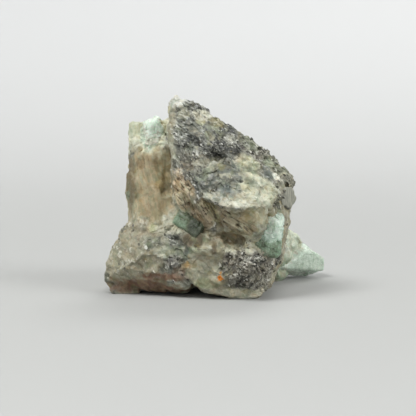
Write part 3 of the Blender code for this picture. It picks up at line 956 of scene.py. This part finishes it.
def close_on(points, crystal):
    """Draws the stone's points that are near a crystal on to its surface, and just under it."""
    under, held, fading = 0.00006, 0.45, 0.65
    for i, found, normal, away in near_places(points, crystal):
        if (Vector(points[i] * MM) - found).dot(normal) > 0:
            pull = 1 - min(1.0, max(0.0, (away - held) / fading))
            points[i] += (np.array(found - normal * under) / MM - points[i]) * pull


def make_crystal(node, material, grow, deep_green_and_shade, ashen=lambda p: 0.0, crackle=1.0):
    """A crystal that fills its socket, broken and crackled, with a crust where the stone laps on to it."""
    crust_reach = 1.2
    obj = fine_copy(node, node + "_crystal", CRYSTAL_VOXEL)
    edges = edges_of(obj)
    points = averaged(points_of(obj), edges, 1)
    set_points(obj, points)
    normals = averaged(normals_of(obj), edges, 1)
    plan = points - PLAN_ORIGIN
    broken = shards(plan / 1.6, 131, 0.20, 0.10, 0.03) + shards(plan / 0.6, 136, 0.10, 0.06)
    height = grow + crackle * broken
    height += 0.14 * fractal(plan / 1.4, 141, 2)
    set_points(obj, np.clip(points + normals * height[:, None], LOW, HIGH))
    thin_to(obj, CRYSTAL_TRIANGLES)
    points = points_of(obj)
    plan = points - PLAN_ORIGIN
    bare = surface_of(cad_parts["matrix"])
    away = np.array([bare.find_nearest(Vector(p * MM))[3] for p in points]) / MM
    tint_and_shade = np.zeros((len(points), 3))
    # How deep the green is, with painted shade where the crystal's deep value gives it
    tint_and_shade[:, 0] = deep_green_and_shade(plan)
    tint_and_shade[:, 1] = 1 - np.clip(away / crust_reach, 0, 1)
    tint_and_shade[:, 2] = ashen(plan)
    store(obj, "tint_and_shade", tint_and_shade)
    finish_stone(obj, material)
    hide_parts(node)
    return obj


# -------- mica scales and grains


def make_scales(name, stone, points, chance, material, count, length, slim, thick, lean, seed):
    """Scales or grains scattered over the stone where their chance is high, lying along its layers."""
    random = np.random.default_rng(seed)
    normals = normals_of(stone)
    patchy = 0.25 + step(-0.25, 0.35, fractal((points - PLAN_ORIGIN) / 1.6, seed + 200, 3))
    chance = room_at(stone, points) * patchy * np.clip(chance - 0.2, 0, 1) * step(0.6, 1.5, points[:, 2])
    chosen = random.choice(len(points), count, replace=False, p=chance / chance.sum())
    plan = points[chosen] - PLAN_ORIGIN
    faces = unit(normals[chosen] + lean * random.normal(size=(count, 3)))
    ways = unit(np.cross(faces, across_layers(plan))) + 0.16 * random.normal(size=(count, 3))
    ways = unit(ways - faces * np.sum(ways * faces, axis=1)[:, None])
    lengths = length * random.uniform(0.6, 1.6, count)
    widths = lengths * slim * random.uniform(0.6, 1.4, count)
    middles = np.clip(points[chosen] - normals[chosen] * (0.1 * thick), LOW + length, HIGH - length)
    shades = random.beta(0.9, 1.3, count)
    return plates(name, middles, faces, ways, lengths, widths, thick, shades, make_up(plan)[0], material)


def unit(vectors):
    return vectors / np.linalg.norm(vectors, axis=1)[:, None]


def room_at(obj, points):
    """About how much of the surface each point stands for."""
    edges = edges_of(obj)
    span = np.linalg.norm(points[edges[:, 0]] - points[edges[:, 1]], axis=1)
    return np.bincount(edges.ravel(), np.repeat(span**2, 2), len(points))


def across_layers(plan):
    """The way across the schist's layers. A jump from one domain to the next counts for little."""
    tiny, jump, little = 0.05, 1.0, 0.1
    here = layered(plan)[:, 0]
    slope = np.stack([layered(plan + tiny * axis)[:, 0] - here for axis in np.eye(3)], axis=1)
    return np.where(np.abs(slope) < jump, slope, little) / tiny


def plates(name, middles, faces, ways, lengths, widths, thick, shades, tones, material):
    """Many thin six-sided plates in one mesh. Each lies in a plane, longer one way than the other."""
    corners = 6
    sideways = np.cross(faces, ways)
    angles = np.radians(np.arange(corners) * 60)
    rim = (
        middles[:, None, :]
        + ways[:, None, :] * (np.cos(angles)[None, :, None] * lengths[:, None, None] / 2)
        + sideways[:, None, :] * (np.sin(angles)[None, :, None] * widths[:, None, None] / 2)
    )
    lift = faces[:, None, :] * (thick / 2)
    points = np.concatenate([rim + lift, rim - lift], axis=1).reshape(-1, 3)
    sides = [tuple(range(corners)), tuple(reversed(range(corners, 2 * corners)))]
    sides += [(corners + k, corners + (k + 1) % corners, (k + 1) % corners, k) for k in range(corners)]
    polygons = [tuple(2 * corners * n + i for i in side) for n in range(len(middles)) for side in sides]
    obj = shaped(name, (points * MM).tolist(), polygons, material)
    store_shade(obj, np.repeat(shades, 2 * corners))
    store(obj, "tone", np.repeat(tones, 2 * corners, axis=0))
    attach(obj, "root")
    return obj


# -------- the mica book

# How many rings of points a sheet has, and how many points go round each
SHEET_RINGS, SHEET_AROUND = 4, 36


def make_book(material):
    """The mica book: sheets stacked face to face, each with its own ragged rim and shade."""
    sheets, depth = 13, 3.95
    random = np.random.default_rng(7)
    thickness = depth / sheets
    verts, polygons, shades = [], [], []
    for k in range(sheets):
        place = k - (sheets - 1) / 2
        outward = max(0.0, place / (sheets / 2))
        polygons += sheet_faces(len(verts))
        verts += sheet_points(random, place * thickness, outward, thickness)
        shades += [random.uniform(0.15, 0.85)] * (SHEET_RINGS * SHEET_AROUND)
    points = np.clip(np.array(verts), LOW, HIGH) * MM
    obj = shaped("mica_book_sheets", points.tolist(), polygons, material)
    store_shade(obj, np.array(shades))
    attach(obj, "root")
    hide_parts("mica_book")
    return obj


def sheet_points(random, place, outward, thickness):
    """One sheet's rings of points: six-sided with ripples, and smaller towards the book's open face."""
    widest, bevel, overlap = 1.86, 0.10, 0.02
    way = np.array((0.0, 0.0, 1.0))
    way -= BOOK_FACE * way.dot(BOOK_FACE)
    way /= np.linalg.norm(way)
    side = np.cross(BOOK_FACE, way)
    angle = np.linspace(0, 2 * math.pi, SHEET_AROUND, endpoint=False)
    corner = np.cos((angle + 0.3) * 6) * 0.05
    radius = widest * (1 - 0.14 * outward**3) + random.uniform(-0.20, 0.08)
    ripple = 0.05 * np.sin(angle * 5 + random.uniform(0, 6))
    ripple += 0.03 * np.sin(angle * 11 + random.uniform(0, 6))
    shift = random.uniform(-0.10, 0.10, 2)
    base = BOOK + PLAN_ORIGIN + BOOK_FACE * place
    points = []
    for level, inset in ((-0.5, bevel), (-0.36, 0.0), (0.36, 0.0), (0.5, bevel)):
        for a, c, w in zip(angle, corner, ripple):
            r = radius * (1 - c + w) - inset
            flat = way * (math.cos(a) * r * 1.06 + shift[0]) + side * (math.sin(a) * r * 0.94 + shift[1])
            points.append(base + flat + BOOK_FACE * (level * (thickness + overlap)))
    return points


def sheet_faces(first):
    """The faces of a sheet whose first point has this number: its rim, its back and its front."""
    front = first + (SHEET_RINGS - 1) * SHEET_AROUND
    faces = list(between_rings(first, SHEET_RINGS, SHEET_AROUND))
    faces.append(tuple(first + i for i in reversed(range(SHEET_AROUND))))
    faces.append(tuple(front + i for i in range(SHEET_AROUND)))
    return faces


# -------- stage, in metres


def make_stage(material):
    """A pale round floor that curves up into a wall all round, far outside the stone."""
    flat, curve, top, steps, around = 0.20, 0.75, 1.6, 24, 72
    profile = [(flat, 0.0)]
    for k in range(1, steps + 1):
        a = math.radians(90 * k / steps)
        profile.append((flat + curve * math.sin(a), curve * (1 - math.cos(a))))
    profile.append((flat + curve, top))
    verts = [(0.0, 0.0, 0.0)]
    for radius, height in profile:
        for k in range(around):
            a = 2 * math.pi * k / around
            verts.append((radius * math.cos(a), radius * math.sin(a), height))
    polygons = [(0, 1 + k, 1 + (k + 1) % around) for k in range(around)]
    polygons += [(a, d, c, b) for a, b, c, d in between_rings(1, len(profile), around)]
    sweep = shaped("sweep", verts, polygons, material)
    sweep.location.z = -0.00003
    sweep.data.shade_smooth()


def aim(obj, direction):
    """Puts a light or a camera in the scene, looking along a direction."""
    obj.rotation_mode = "QUATERNION"
    obj.rotation_quaternion = direction.to_track_quat("-Z", "Y")
    bpy.context.scene.collection.objects.link(obj)


def make_lights():
    world = bpy.data.worlds.new("studio")
    world.use_nodes = True
    background = world.node_tree.nodes["Background"]
    background.inputs["Color"].default_value = (1.0, 0.99, 0.97, 1)
    background.inputs["Strength"].default_value = 0.50
    bpy.context.scene.world = world
    target = Vector((0, 0, 0.015))
    for name, place, size, power in (
        ("key", (-0.30, -0.26, 0.58), 0.34, 3.9),
        ("fill", (0.58, -0.36, 0.42), 0.45, 3.2),
        ("rim", (0.14, 0.42, 0.52), 0.34, 1.8),
    ):
        light = bpy.data.lights.new(name, "AREA")
        light.shape, light.size, light.energy = "DISK", size, power
        obj = bpy.data.objects.new(name, light)
        obj.location = place
        aim(obj, target - Vector(place))


def make_camera():
    """The photograph's view: from a little above the stone's front, at the photograph's own scale."""
    elevation, distance, sensor = math.radians(6), 0.350, 36
    pixels_a_millimetre, picture_width = 5.6, 416
    target = (Vector(PLAN_ORIGIN) + Vector((-0.9, 0.0, 14.6))) * MM
    back = Vector((0, -math.cos(elevation), math.sin(elevation)))
    camera = bpy.data.cameras.new("camera")
    camera.sensor_width = sensor
    camera.lens = sensor * pixels_a_millimetre * distance / MM / picture_width
    camera.clip_start, camera.clip_end = 0.01, 10
    obj = bpy.data.objects.new("camera", camera)
    obj.location = target + back * distance
    aim(obj, -back)
    bpy.context.scene.camera = obj


# -------- the specimen

emerald = emerald_look()
crystals = [
    make_crystal(
        "emerald_upper_left", emerald, 0.42,
        deep_green_and_shade=lambda p: -0.34 + 0.10 * step(29, 26, p[:, 2]),
        ashen=lambda p: 0.92 * step(28.2, 26.9, p[:, 2]),
    ),
    make_crystal(
        "emerald_centre", emerald, 0.22, crackle=0.5,
        # The right half's deeper green is painted shadow from the overhanging undercut
        deep_green_and_shade=lambda p: 0.61 + 0.38 * step(-4.9, -3.9, p[:, 0]),
    ),
    make_crystal(
        "emerald_right", emerald, 0.32,
        deep_green_and_shade=lambda p: 0.17 + 0.38 * step(10.9, 9.8, p[:, 2]),
    ),
    make_crystal(
        "emerald_rear", emerald, 0.24, crackle=0.4, deep_green_and_shade=lambda p: 0.26, ashen=lambda p: 0.2,
    ),
]
book = make_book(mica_look())
stone, stone_points, stone_share = make_matrix(schist_look(), crystals + [book])
flake = flake_look()
# The mica scales' paler shades are partly painted glints
scales = make_scales(
    "mica_scales", stone, stone_points, stone_share[:, MICA], flake,
    count=2900, length=0.52, slim=0.42, thick=0.05, lean=0.22, seed=5,
)
flecks = make_scales(
    "dark_and_pale_grains", stone, stone_points, stone_share[:, SPECKLE], flake,
    count=1350, length=0.52, slim=0.62, thick=0.14, lean=0.40, seed=6,
)

make_stage(floor_look())
make_lights()
make_camera()
bpy.context.scene.view_settings.view_transform = "Standard"
